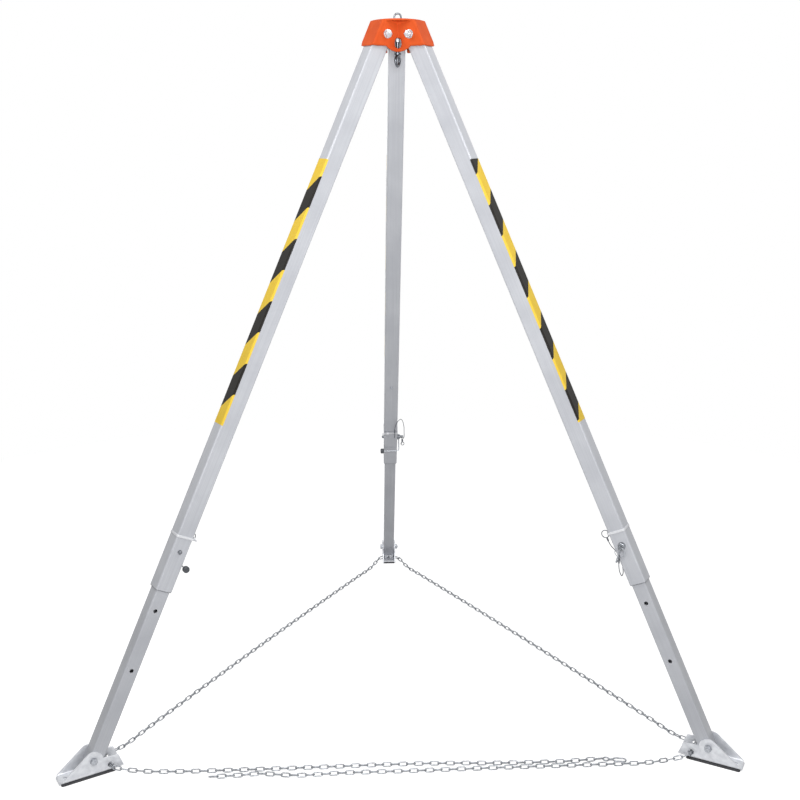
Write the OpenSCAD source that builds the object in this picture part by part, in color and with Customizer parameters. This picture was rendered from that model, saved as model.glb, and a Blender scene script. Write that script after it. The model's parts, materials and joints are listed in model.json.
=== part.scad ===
// Rescue tripod: three folding, telescoping legs on a cast head, swivel feet and a foot chain.
// Origin: the floor point under the head's axis. +Z is up, the legs stand at 90, 210 and 330 degrees.
// Millimetres. Leg frame: +X outward from the leg, +Y along the pivot bolt, +Z up the leg.

/* [Stance] */
// Angle of each leg from the plumb line
splay = 25.8; // [23:0.1:28]
// Distance of each leg pivot from the head's axis
pivot_r = 56; // [54:1:64]

/* [Upper legs] */
// Outside width of the square upper tube
upper_w = 50; // [48:1:54]
// Wall of the upper tube
upper_wall = 3; // [2.5:0.1:3.5]
// Outside corner radius of the upper tube
upper_corner = 5; // [4.5:0.1:6]
// Length of the upper leg from its pivot to its lower end
upper_len = 1676; // [1500:1:1720]

/* [Lower legs] */
// Wall of the lower tube
lower_wall = 3; // [2:0.1:3.5]
// Outside corner radius of the lower tube
lower_corner = 4; // [3.5:0.1:5]
// Length of the lower tube
lower_len = 1650; // [1600:1:1700]
// Gap between the lower tube and the inside of the upper tube
tube_gap = 1; // [0.8:0.05:1.4]
// Spacing of the adjustment holes
hole_pitch = 180; // [160:1:185]
// Number of adjustment holes
hole_count = 7; // [5:1:7]
// Hole that the pin goes through, counted from the foot
pinned_hole = 3; // [2:1:4]
// Distance from the lowest hole to the foot bolt
hole_to_foot = 270; // [240:1:300]
// Length of tube below the foot bolt
tube_past_foot = 22; // [18:1:24]
// Distance of the foot bolt outward from the tube's centre line
foot_out = 8.7; // [6:0.1:10]
// Height of the guide plug's collar in the tube's top end
plug_collar = 12; // [8:1:20]
// Depth of the guide plug inside the tube
plug_depth = 25; // [15:1:40]

/* [Head] */
// Thickness of the cheeks beside each leg
cheek_t = 8; // [6:0.5:9]
// Thickness of the wall that stops each leg
end_wall = 4.5; // [3.5:0.1:6]
// Space between the rounded leg top and the head's roof
roof_clear = 6; // [4:0.5:8]
// Thickness of the roof at its edge
roof_t = 9; // [7:0.5:11]
// Rise of the domed top at the axis
dome_rise = 4.7; // [3:0.1:6]
// Depth of the lobes below the leg pivots
head_down = 32; // [28:1:36]
// Depth of each rounded tab below the lobes
tab_drop = 15; // [12:0.5:18]
// Half width of each tab where it leaves the lobes
tab_half = 35; // [30:0.5:38]
// Thickness of the top plate between the lobes
plate_t = 6; // [4:0.5:7]
// Width of the oval anchor holes
anchor_w = 18.5; // [14:0.5:20]
// Height of the oval anchor holes
anchor_h = 27.5; // [24:0.5:28]
// Depth of the anchor holes' centre below the leg pivots
anchor_down = 23.5; // [22:0.5:25]
// Diameter of the hub that holds the load eye
hub_d = 32; // [30:1:36]
// Depth of the hub below the leg pivots
hub_down = 8; // [4:1:12]

/* [Eyes] */
// Thread diameter of the load eye
eye_thread = 10; // [8:1:12]
// Outside diameter of the load eye
load_eye_d = 36; // [32:1:44]
// Wire of the load eye
load_eye_wire = 8; // [7:0.5:9]
// Gap between the tabs' lowest point and the load eye's collar
load_eye_gap = 0.5; // [0:0.5:6]
// Height of the collar on the load eye
load_eye_collar = 5; // [4:0.5:8]
// Turn of the load eye about the head's axis
load_eye_turn = 65; // [0:5:90]
// Outside diameter of the lifting eye
lift_eye_d = 24; // [22:1:30]
// Wire of the lifting eye
lift_eye_wire = 5; // [4:0.5:6]
// Diameter of the lifting eye's foot
lift_foot_d = 20; // [18:1:22]
// Height of the lifting eye's foot
lift_foot_h = 12; // [10:1:14]
// Depth of the lifting eye's ring in its foot
lift_sink = 6.5; // [5:0.5:7]
// Depth of the recess for the lifting eye below the dome
lift_recess = 12.7; // [11:0.1:14]

/* [Pivot bolts] */
// Diameter of the leg pivot bolts
pivot_d = 12; // [10:1:14]
// Width across flats of the pivot bolts
pivot_flats = 19; // [17:1:22]
// Height of the pivot bolt heads
pivot_head = 7.5; // [6:0.5:9]
// Height of the pivot nuts
pivot_nut = 10; // [8:0.5:12]
// Diameter of the pivot washers
pivot_washer_d = 24; // [22:1:26]
// Thickness of the pivot washers
pivot_washer_t = 2.5; // [2:0.1:3]
// Outside diameter of the pivot bushes
bush_d = 16; // [15:0.5:18]
// Flange diameter of the pivot bushes
bush_flange_d = 26; // [22:1:30]
// Flange thickness of the pivot bushes
bush_flange = 2.7; // [2:0.1:4]

/* [Lock pins] */
// Diameter of the lock pins
pin_d = 11.5; // [10:0.5:13]
// Distance of the pin from the upper tube's lower end
pin_from_end = 118; // [100:1:130]
// Length of pin past the tube on its tip side
pin_tip = 8; // [6:1:12]
// Diameter of the flange under the pin's head
pin_flange_d = 22; // [20:1:26]
// Thickness of that flange
pin_flange = 4; // [3:0.5:6]
// Diameter of the collar outside the bail
pin_collar_d = 17; // [16:0.5:20]
// Thickness of that collar
pin_collar = 3; // [2:0.5:4]
// Diameter of the stub that carries the split ring
stub_d = 10; // [9:0.5:11]
// Length of the stub
stub_len = 12; // [10:0.5:14]
// Chamfer on the end of the stub
stub_edge = 1.5; // [1:0.1:1.6]
// Hole in the stub for the split ring
stub_hole = 5; // [4.8:0.1:5.4]
// Outside diameter of the split ring
ring_d = 31; // [28:0.5:34]
// Wire of the split ring
ring_wire = 2.5; // [2.2:0.1:2.6]
// Wire of the bail
bail_wire = 4; // [3.5:0.1:5]
// Reach of the bail down the leg
bail_down = 42; // [38:1:46]
// Distance of the bail's cross wire from the tube's inner face
bail_off = 10; // [9.5:0.5:13]
// Bend radius of the bail
bail_bend = 8; // [7:0.5:9]
// Diameter of the grip on the bail
grip_d = 19; // [17:0.5:19]
// Length of the grip on the bail
grip_len = 13; // [10:0.5:16]

/* [Trim on the legs] */
// Distance from the pivot to the start of the hazard tape
tape_from = 387; // [380:1:420]
// Length of the hazard tape
tape_len = 798; // [600:1:800]
// Thickness of the hazard tape
tape_t = 0.4; // [0.3:0.05:0.6]
// Distance of the cable tie from the pin, up the leg
tie_up = 43; // [40:1:48]
// Width of the cable tie
tie_w = 7; // [5:0.5:7.5]
// Thickness of the cable tie
tie_t = 1.4; // [1:0.1:1.5]
// Length of the guide collar inside the upper tube
collar_len = 40; // [30:1:60]
// Thickness of the guide collar's lip below the tube
collar_lip = 2; // [1.5:0.1:4]
// Distance of the stop screw from the pivot
stop_at = 1296; // [1200:1:1320]
// Thread of the stop screw
stop_d = 6; // [5:1:8]

/* [Lanyards] */
// Wire of the lanyards
lanyard_d = 2.6; // [2:0.1:2.8]
// Loop diameter of a lanyard at the cable tie, on the wire's centre line
lanyard_loop = 22; // [20:0.5:24]
// Loop diameter of a lanyard at the split ring, on the wire's centre line
lanyard_eye = 12; // [11:0.5:14]
// Diameter of the ferrules
ferrule_d = 5; // [4:0.5:6]
// Length of the ferrules
ferrule_len = 12; // [8:1:14]

/* [Feet] */
// Thickness of the rubber sole
sole_t = 7; // [5:0.5:10]
// Thickness of the folded channel
channel_t = 4.5; // [3.5:0.1:5]
// Height of the foot bolt above the channel's floor
foot_bolt_h = 39.5; // [37:0.5:44]
// Reach of the toe outward from the foot bolt
toe_reach = 92; // [80:1:100]
// Reach of the heel inward from the foot bolt
heel_reach = 61; // [58:1:66]
// Length of the cheeks' tails behind the sole
heel_tail = 23; // [18:1:26]
// Height of the tails' tips above the channel's underside
tail_rise = 6; // [4:0.5:8]
// Slant of the tails' back edges, from top to tip
tail_slant = 13; // [10:1:16]
// Radius of the cheeks round the foot bolt
boss_r = 27; // [24:0.5:30]
// Depth of the heel's top edge below the foot bolt
heel_drop = 2.5; // [0:0.5:6]
// Outside bend radius of the channel
channel_bend = 8; // [6:0.5:10]
// Diameter of the chain holes
chain_hole = 17.5; // [17:0.5:19]
// Distance of the chain holes inward from the foot bolt
chain_in = 47; // [45:0.5:49]
// Depth of the chain holes below the foot bolt
chain_down = 25.5; // [24:0.5:26.5]
// Diameter of the foot bolts
foot_bolt = 10; // [8:1:12]
// Width across flats of the foot bolts
foot_flats = 17; // [15:1:19]
// Height of the foot bolt heads
foot_head = 6.5; // [5:0.5:8]
// Height of the foot nuts
foot_nut = 8; // [6:0.5:10]
// Diameter of the foot washers
foot_washer_d = 21; // [20:1:24]
// Thickness of the foot washers
foot_washer_t = 2; // [1.5:0.1:3]
// Head diameter of the sole rivets
rivet_head_d = 9; // [8:0.5:11]
// Shank diameter of the sole rivets
rivet_d = 5; // [4:0.5:6]

/* [Chain] */
// Diameter that the chain's links take up
chain_d = 11; // [10:0.5:13]
// Wire of the hook at the chain's end
hook_wire = 4.5; // [4:0.5:6]
// Inside radius of the hook's bow
hook_bow = 6; // [5:0.5:9]
// Length of the hook's straight side
hook_side = 20; // [15:1:30]

/* [Clearances] */
// Radial running gap on the pivot bolts and foot bolts
run_gap = 0.06; // [0.03:0.01:0.1]
// Radial gap of bolts in the holes that they only pass through
bolt_gap = 0.2; // [0.1:0.05:0.4]
// Radial gap of the lock pins in their holes
pin_gap = 0.25; // [0.15:0.05:0.4]
// Gap between flat faces that slide past each other
face_gap = 0.3; // [0.2:0.05:0.5]
// Gap between pieces that are pressed or glued together
seat_gap = 0.05; // [0.02:0.01:0.1]
// Sideways gap between the lower tube and the foot's cheeks
foot_gap = 0.5; // [0.3:0.1:1]
// Gap between the chain and the lower edge of the holes in the feet
lie_gap = 0.3; // [0.1:0.1:1]
// Play under the chain and its hook where they lie on the floor
floor_gap = 1; // [0.8:0.1:1.2]

/* [Hidden] */
$fn = 48;
left_turn = 210;
rear_turn = 90;
right_turn = 330;
turns = [left_turn, rear_turn, right_turn];
// Legs
lower_w = upper_w - 2 * upper_wall - 2 * tube_gap;
pin_s = upper_len - pin_from_end;
first_hole_s = pin_s + (pinned_hole - 1) * hole_pitch;
foot_s = first_hole_s + hole_to_foot;
lower_end_s = foot_s + tube_past_foot;
lower_top_s = lower_end_s - lower_len;
foot_pivot_h = sole_t + channel_t + foot_bolt_h;
pivot_z = foot_pivot_h + foot_s * cos(splay) - foot_out * sin(splay);
foot_r = pivot_r + foot_s * sin(splay) + foot_out * cos(splay);
top_round = upper_w / 2 - 0.5;
// Head
pocket_half = upper_w / 2 + bush_flange + face_gap;
lobe_half = pocket_half + cheek_t;
roof_z = upper_w / 2 + roof_clear;
head_up = roof_z + roof_t;
dome_top = head_up + dome_rise;
stop_off = upper_w / 2 + face_gap;
lobe_top_r = wall_r(stop_off + end_wall, head_up);
// Corners of the top plate lie inside the lobes
plate_r = lobe_top_r - end_wall / 2;
plate_half = lobe_half - cheek_t / 4;
dome_r = (lobe_top_r * lobe_top_r + dome_rise * dome_rise) / (2 * dome_rise);
tab_r = (tab_half * tab_half + tab_drop * tab_drop) / (2 * tab_drop);
tab_low = head_down + tab_drop;
recess_z = dome_top - lift_recess;
// How far each lobe reaches past the axis, so that the three lobes run into one another
core = hub_d / 4;
recess_d = lift_foot_d + 2;
load_collar_z = -(tab_low + load_eye_gap);
load_ring_r = (load_eye_d - load_eye_wire) / 2;
load_eye_z = load_collar_z - load_eye_collar - load_eye_d / 2 + 1.5;
lift_ring_r = (lift_eye_d - lift_eye_wire) / 2;
lift_eye_z = recess_z + lift_foot_h - lift_sink + lift_eye_d / 2;
eye_nut_h = 0.8 * eye_thread;
eye_nut_flats = 1.6 * eye_thread;
eye_washer_t = 2;
// Pin, in the leg frame and measured from the pin's axis
pin_face = -(upper_w / 2 + face_gap);
neck_len = bail_wire + 2 * face_gap;
neck_y = pin_face - pin_flange;
bail_y = neck_y - neck_len / 2;
stub_y = neck_y - neck_len - pin_collar;
ring_y = stub_y - stub_len / 2;
bail_ring_r = pin_d / 2 + pin_gap + bail_wire / 2;
bail_x = -(upper_w / 2 + bail_off);
bail_reach = norm([bail_x, bail_down]);
bail_angle = atan2(-bail_down, bail_x);
grip_y = upper_w / 2 + face_gap;
ring_r = (ring_d - ring_wire) / 2;
ring_sag = ring_r - sqrt(ring_r * ring_r - stub_d * stub_d / 4);
ring_drop = ring_r - ring_sag / 2;
hang = [-sin(splay), 0, -cos(splay)];
// Cable tie and lanyard, in the leg frame and measured from the pin's axis
tie_lift = lanyard_d + 1;
tie_x = -(upper_w / 2 + tie_lift + tie_t);
loop_r = lanyard_loop / 2;
loop_at = [-(upper_w / 2) - 0.2 - lanyard_d / 2 - loop_r, -14, tie_up];
eye_r = lanyard_eye / 2;
eye_at = (ring_drop + ring_r) * hang + [0, ring_y - 3.2, 0];
// Feet
foot_in = lower_w / 2 + foot_gap;
foot_side = foot_in + channel_t;
floor_top = -foot_bolt_h;
floor_low = -foot_bolt_h - channel_t;
sole_low = floor_low - sole_t;
tail_reach = heel_reach + heel_tail;
toe_dist = norm([toe_reach, floor_top]);
slope_angle = atan2(floor_top, toe_reach) + acos(boss_r / toe_dist);
chain_r = foot_r - chain_in;
chain_z = foot_pivot_h - chain_down;
chain_rest_z = chain_z - chain_hole / 2 + chain_d / 2 + lie_gap;
// Chain
lie_z = chain_d / 2 + floor_gap;
half_span = chain_r * cos(30);
front_y = -chain_r * sin(30);

// Frames and shared shapes

// Radius at height z of a line parallel to the leg, off millimetres outside the pivot
function wall_r(off, z) = pivot_r + (off - z * sin(splay)) / cos(splay);

// Leg frame with its origin at the pivot
module on_leg(turn) {
    rotate([0, 0, turn])
        translate([pivot_r, 0, pivot_z])
            rotate([0, -splay, 0])
                children();
}

// Leg frame with its origin on the pin's axis
module on_pin(turn) {
    on_leg(turn)
        translate([0, 0, -pin_s])
            children();
}

// Foot frame: origin on the foot bolt, +X outward, +Y along the bolt
module on_foot(turn) {
    rotate([0, 0, turn])
        translate([foot_r, 0, foot_pivot_h])
            children();
}

// Cylinder along Y from y0 to y1
module along_y(d, y0, y1) {
    translate([0, y0, 0])
        rotate([-90, 0, 0])
            cylinder(h = y1 - y0, d = d);
}

// Hexagon along Y, given across its flats
module hex_y(flats, y0, y1) {
    translate([0, y0, 0])
        rotate([-90, 0, 0])
            cylinder(h = y1 - y0, d = flats / cos(30), $fn = 6);
}

// Rectangle with round corners, given by its edges
module round_rect(x0, x1, y0, y1, r) {
    translate([x0 + r, y0])
        square([x1 - x0 - 2 * r, y1 - y0]);
    translate([x0, y0 + r])
        square([x1 - x0, y1 - y0 - 2 * r]);
    for (x = [x0 + r, x1 - r], y = [y0 + r, y1 - r])
        translate([x, y])
            circle(r);
}

// Square with round corners, centred
module round_square(w, r) {
    round_rect(-w / 2, w / 2, -w / 2, w / 2, r);
}

// Square tube from z0 to z1
module square_tube(w, wall, corner, z0, z1) {
    translate([0, 0, z0])
        linear_extrude(z1 - z0)
            difference() {
                round_square(w, corner);
                round_square(w - 2 * wall, corner - wall + 0.5);
            }
}

// Ring of round wire in the XY plane
module wire_ring(r, wire, angle = 360) {
    rotate_extrude(angle = angle)
        translate([r, 0])
            circle(d = wire);
}

// Smooth curve through hand-set points, sampled every step millimetres and coarser on long runs
function tangent(p, i) =
    i == 0 ? (p[1] - p[0]) / norm(p[1] - p[0]) :
    i == len(p) - 1 ? (p[i] - p[i - 1]) / norm(p[i] - p[i - 1]) :
    (p[i + 1] - p[i - 1]) / (norm(p[i + 1] - p[i]) + norm(p[i] - p[i - 1]));
function between(a, b, ta, tb, k) =
    let (m = norm(b - a), q = 1 - k)
    q * q * (1 + 2 * k) * a + k * k * (3 - 2 * k) * b + m * k * q * (q * ta - k * tb);
function smooth(p, step) = [
    for (i = [0 : len(p) - 2])
        let (run = norm(p[i + 1] - p[i]), count = ceil(min(run / step, 1 + run / (8 * step))))
        for (j = [0 : count - 1])
            between(p[i], p[i + 1], tangent(p, i), tangent(p, i + 1), j / count),
    p[len(p) - 1]
];

// Unit vector, and a frame carried along a curve without twist
function unit(v) = v / norm(v);
function carried(c, i, side) =
    i == len(c) ? [] :
    let (t = tangent(c, i), s = unit(side - (side * t) * t))
    concat([[s, cross(t, s)]], carried(c, i + 1, s));

// Round cord along a curve, with eight sides
module cord(c, d) {
    sides = 8;
    frames = carried(c, 0, unit(cross(tangent(c, 0), [0.3, 1, 0.2])));
    pts = [
        for (i = [0 : len(c) - 1], j = [0 : sides - 1])
            c[i] + d / 2 * (cos(360 * j / sides) * frames[i][0] + sin(360 * j / sides) * frames[i][1])
    ];
    last = (len(c) - 1) * sides;
    walls = [
        for (i = [0 : len(c) - 2], j = [0 : sides - 1])
            let (a = i * sides + j, b = i * sides + (j + 1) % sides)
            each [[a, a + sides, b], [b, a + sides, b + sides]]
    ];
    first_cap = [for (j = [1 : sides - 2]) [0, j, j + 1]];
    last_cap = [for (j = [1 : sides - 2]) [last, last + j + 1, last + j]];
    polyhedron(pts, concat(walls, first_cap, last_cap));
}

// Head

// Slab of one lobe between two heights, out to a line parallel to the leg
module lobe_slab(half, off, z0, z1) {
    rotate([90, 0, 0])
        linear_extrude(2 * half, center = true)
            polygon([[-core, z0], [wall_r(off, z0), z0], [wall_r(off, z1), z1], [-core, z1]]);
}

// Three arms of one width that meet at the axis
module star(half, reach) {
    polygon([
        for (turn = turns, corner = [[reach, half], [reach, -half], [half / tan(60), -half]])
            [
                corner[0] * cos(turn) - corner[1] * sin(turn),
                corner[0] * sin(turn) + corner[1] * cos(turn)
            ]
    ]);
}

module head_outside() {
    intersection() {
        union() {
            for (turn = turns)
                rotate([0, 0, turn])
                    lobe_slab(lobe_half, stop_off + end_wall, -head_down, dome_top + 1);
            translate([0, 0, head_up - plate_t + 1])
                linear_extrude(plate_t + dome_rise)
                    polygon([
                        for (turn = turns, side = [1, -1])
                            [
                                plate_r * cos(turn) - side * plate_half * sin(turn),
                                plate_r * sin(turn) + side * plate_half * cos(turn)
                            ]
                    ]);
        }
        translate([0, 0, dome_top - dome_r])
            sphere(dome_r, $fn = 200);
    }
    intersection() {
        for (turn = turns)
            rotate([0, 0, turn])
                translate([-core, -lobe_half, -tab_low - 1])
                    cube([pivot_r + core, 2 * lobe_half, tab_drop + 2]);
        for (turn = turns)
            rotate([0, 0, turn + 180])
                translate([hub_d / 2, 0, tab_r - tab_low])
                    rotate([0, 90, 0])
                        cylinder(h = pivot_r, r = tab_r);
    }
}

module anchor_slot() {
    grow = (anchor_h - anchor_w) / 2;
    translate([hub_d / 2 + 10, 0, -anchor_down])
        rotate([0, 90, 0]) {
            for (side = [-1, 1])
                translate([side * grow, 0, 0])
                    cylinder(h = pivot_r, d = anchor_w);
            translate([-grow, -anchor_w / 2, 0])
                cube([2 * grow, anchor_w, pivot_r]);
        }
}

module head_casting() {
    color("#E55A29")
        translate([0, 0, pivot_z])
            difference() {
                union() {
                    difference() {
                        head_outside();
                        intersection() {
                            translate([0, 0, -tab_low - 10])
                                linear_extrude(tab_low + 10 + roof_z)
                                    star(pocket_half, 2 * pivot_r);
                            for (turn = turns)
                                rotate([0, 0, turn])
                                    lobe_slab(lobe_half, stop_off, -tab_low - 12, roof_z + 2);
                        }
                    }
                    translate([0, 0, -hub_down])
                        cylinder(h = hub_down + roof_z + 2, d = hub_d);
                }
                translate([0, 0, -hub_down - 1])
                    cylinder(h = hub_down + dome_top + 2, d = eye_thread + 2 * bolt_gap);
                translate([0, 0, recess_z])
                    cylinder(h = lift_recess + 1, d = recess_d);
                for (turn = turns) {
                    rotate([0, 0, turn])
                        translate([pivot_r, 0, 0])
                            along_y(pivot_d + 2 * bolt_gap, -lobe_half - 1, lobe_half + 1);
                    rotate([0, 0, turn + 180])
                        anchor_slot();
                }
            }
}

module each_pivot() {
    for (turn = turns)
        rotate([0, 0, turn])
            translate([pivot_r, 0, pivot_z])
                children();
}

module leg_pivot_bolts() {
    grip = lobe_half + pivot_washer_t;
    color("#C9CCD1")
        each_pivot() {
            along_y(pivot_d, -grip - pivot_nut - 2, grip + 1);
            hex_y(pivot_flats, grip, grip + pivot_head);
        }
}

module leg_pivot_nuts() {
    grip = lobe_half + pivot_washer_t;
    color("#C9CCD1")
        each_pivot()
            difference() {
                hex_y(pivot_flats, -grip - pivot_nut, -grip);
                along_y(pivot_d + 2 * seat_gap, -grip - pivot_nut - 1, 1 - grip);
            }
}

module leg_pivot_washers() {
    color("#B9BCC2")
        each_pivot()
            for (y0 = [-lobe_half - pivot_washer_t, lobe_half])
                difference() {
                    along_y(pivot_washer_d, y0, y0 + pivot_washer_t);
                    along_y(pivot_d + 2 * bolt_gap, y0 - 1, y0 + pivot_washer_t + 1);
                }
}

module load_eye() {
    color("#D8DADD")
        translate([0, 0, pivot_z])
            rotate([0, 0, load_eye_turn]) {
                translate([0, 0, load_eye_z])
                    rotate([90, 0, 0])
                        wire_ring(load_ring_r, load_eye_wire);
                translate([0, 0, load_collar_z - load_eye_collar])
                    cylinder(h = load_eye_collar, d = 1.9 * eye_thread);
                translate([0, 0, load_collar_z - 1])
                    cylinder(h = recess_z + lift_foot_h - 3 - load_collar_z, d = eye_thread);
            }
}

module lifting_eye() {
    color("#D8DADD")
        translate([0, 0, pivot_z])
            difference() {
                union() {
                    translate([0, 0, recess_z])
                        cylinder(h = lift_foot_h, d = lift_foot_d);
                    translate([0, 0, lift_eye_z])
                        rotate([90, 0, 0])
                            wire_ring(lift_ring_r, lift_eye_wire);
                }
                translate([0, 0, recess_z - 1])
                    cylinder(h = lift_foot_h - 1, d = eye_thread + 2 * seat_gap);
            }
}

module eye_fixings() {
    washer_low = -hub_down - eye_washer_t;
    color("#C9CCD1")
        translate([0, 0, pivot_z])
            difference() {
                union() {
                    translate([0, 0, washer_low])
                        cylinder(h = eye_washer_t, d = 2.2 * eye_thread);
                    translate([0, 0, washer_low - eye_nut_h])
                        cylinder(h = eye_nut_h, d = eye_nut_flats / cos(30), $fn = 6);
                }
                translate([0, 0, washer_low - eye_nut_h - 1])
                    cylinder(h = eye_nut_h + eye_washer_t + 2, d = eye_thread + 2 * seat_gap);
            }
}

// Upper leg and what is fixed to it

module upper_leg(turn) {
    color("#B9BBC0")
        on_leg(turn)
            difference() {
                intersection() {
                    square_tube(upper_w, upper_wall, upper_corner, -upper_len, upper_w);
                    union() {
                        along_y(2 * top_round, -upper_w, upper_w);
                        translate([-upper_w, -upper_w, -upper_len - 1])
                            cube([2 * upper_w, 2 * upper_w, upper_len + 1]);
                    }
                }
                along_y(bush_d + 2 * seat_gap, -upper_w, upper_w);
                translate([0, 0, -pin_s])
                    along_y(pin_d + 2 * pin_gap, -upper_w, upper_w);
                translate([-upper_w, 0, -stop_at])
                    rotate([0, 90, 0])
                        cylinder(h = upper_w, d = stop_d + 2 * seat_gap);
            }
}

module pivot_bushes(turn) {
    inner = upper_w / 2 - upper_wall - 2;
    color("#E8E8E4")
        on_leg(turn)
            for (side = [0, 180])
                rotate([0, 0, side])
                    difference() {
                        union() {
                            along_y(bush_d, inner, upper_w / 2 + 1);
                            along_y(bush_flange_d, upper_w / 2, upper_w / 2 + bush_flange);
                        }
                        along_y(pivot_d + 2 * run_gap, inner - 1, upper_w);
                    }
}

module hazard_tape(turn) {
    color("#EDC33A")
        on_leg(turn)
            translate([0, 0, -tape_from - tape_len])
                linear_extrude(tape_len)
                    intersection() {
                        difference() {
                            round_square(upper_w + 2 * tape_t, upper_corner + tape_t);
                            round_square(upper_w, upper_corner);
                        }
                        translate([upper_w / 2 - upper_corner, -upper_w])
                            square([upper_w, 2 * upper_w]);
                    }
}

module guide_collar(turn) {
    out_w = upper_w - 2 * upper_wall - 2 * seat_gap;
    in_w = lower_w + 2 * face_gap;
    color("#2E2E31")
        on_leg(turn)
            difference() {
                union() {
                    translate([0, 0, -upper_len])
                        linear_extrude(collar_len)
                            round_square(out_w, upper_corner - upper_wall + 0.5);
                    translate([0, 0, -upper_len - collar_lip])
                        linear_extrude(collar_lip)
                            round_square(upper_w - 1, upper_corner);
                }
                translate([0, 0, -upper_len - collar_lip - 1])
                    linear_extrude(collar_len + collar_lip + 2)
                        round_square(in_w, lower_corner);
            }
}

module stop_screw(turn) {
    color("#D8DADD")
        on_leg(turn)
            translate([-upper_w / 2, 0, -stop_at])
                rotate([0, 90, 0]) {
                    cylinder(h = upper_wall + 0.4, d = stop_d);
                    translate([0, 0, -0.55 * stop_d])
                        cylinder(h = 0.55 * stop_d, d = 1.8 * stop_d);
                }
}

module cable_tie(turn) {
    half = upper_w / 2 + seat_gap;
    color("#D9DADF")
        on_pin(turn)
            translate([0, 0, tie_up - tie_w / 2]) {
                linear_extrude(tie_w)
                    difference() {
                        round_rect(tie_x, half + tie_t, -half - tie_t, half + tie_t, upper_corner + tie_t);
                        round_rect(tie_x + tie_t, half, -half, half, upper_corner);
                    }
                translate([tie_x - 5, 8, -1])
                    cube([5.5, 9, tie_w + 2]);
                translate([tie_x - 3.5, 16, 1])
                    cube([tie_t, 17, tie_w - 2]);
            }
}

// Lanyard routes, from the ferrule at the tie to the ferrule at the split ring
high_top = loop_at + [0, 0, loop_r + ferrule_len - 0.5];
high_end = eye_at - (eye_r + ferrule_len - 0.5) * hang;
high_route = [
    high_top, high_top + [-1, -2, 17], high_top + [1, -7, 34], high_top + [7, -15, 43],
    high_top + [15, -23, 42], high_top + [23, -30, 26], high_top + [29, -36, -6],
    high_end + [0.5, -5.5, 35], high_end + [0.5, -5.5, 9.5], high_end
];
low_top = loop_at - [0, 0, loop_r + ferrule_len - 0.5];
low_end = eye_at + (eye_r + ferrule_len - 0.5) * hang;
low_route = [
    low_top, low_top + [1, 2, -15], low_top + [6, 8, -35], low_top + [7.5, 12, -60],
    low_top + [7.5, 8, -82], low_top + [6.5, -4, -99], low_top + [5, -18, -102],
    low_end + [-9, 4, -24], low_end + [-4, 0.5, -10], low_end
];

module lanyard(turn, low) {
    way = low ? -1 : 1;
    route = low ? low_route : high_route;
    eye_way = low ? 1 : -1;
    color("#C3C6CB")
        on_pin(turn) {
            translate(loop_at)
                rotate([90, 0, 0])
                    wire_ring(loop_r, lanyard_d);
            translate(loop_at + [0, 0, way * (loop_r + ferrule_len / 2 - 0.5)])
                cylinder(h = ferrule_len, d = ferrule_d, center = true);
            cord(smooth(route, 5), lanyard_d);
            translate(eye_at)
                rotate([0, splay, 0])
                    rotate([0, 90, 0])
                        wire_ring(eye_r, lanyard_d);
            translate(eye_at + eye_way * (eye_r + ferrule_len / 2 - 0.5) * hang)
                rotate([0, splay, 0])
                    cylinder(h = ferrule_len, d = ferrule_d, center = true);
        }
}

// Lower leg

module lower_leg(turn) {
    color("#AEB0B6")
        on_leg(turn)
            difference() {
                square_tube(lower_w, lower_wall, lower_corner, -lower_end_s, -lower_top_s);
                for (k = [0 : hole_count - 1])
                    translate([0, 0, k * hole_pitch - first_hole_s])
                        along_y(pin_d + 2 * pin_gap, -upper_w, upper_w);
                translate([foot_out, 0, -foot_s])
                    along_y(foot_bolt + 2 * run_gap, -upper_w, upper_w);
            }
}

module guide_plug(turn) {
    in_w = lower_w - 2 * lower_wall - 2 * seat_gap;
    out_w = lower_w + 2 * tube_gap - 2 * face_gap;
    color("#2E2E31")
        on_leg(turn) {
            translate([0, 0, -lower_top_s])
                linear_extrude(plug_collar)
                    round_square(out_w, upper_corner - upper_wall + 0.6);
            translate([0, 0, -lower_top_s - plug_depth])
                linear_extrude(plug_depth + 1)
                    round_square(in_w, lower_corner - lower_wall + 0.6);
        }
}

// Foot

module cheek_outline() {
    circle(boss_r);
    polygon([
        [0, 0],
        [boss_r * cos(slope_angle), boss_r * sin(slope_angle)],
        [toe_reach, floor_top],
        [toe_reach, floor_low],
        [-heel_reach, floor_low],
        [-tail_reach, floor_low + tail_rise],
        [tail_slant - tail_reach, -heel_drop],
        [-0.7 * boss_r, 1]
    ]);
}

module channel_section() {
    inner_bend = channel_bend - channel_t;
    difference() {
        round_rect(-foot_side, foot_side, floor_low, 3 * boss_r, channel_bend);
        round_rect(-foot_in, foot_in, floor_top, 4 * boss_r, inner_bend);
    }
}

module rivet_spots() {
    for (x = [toe_reach - 16, 26 - heel_reach])
        translate([x, 0, 0])
            children();
}

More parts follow.
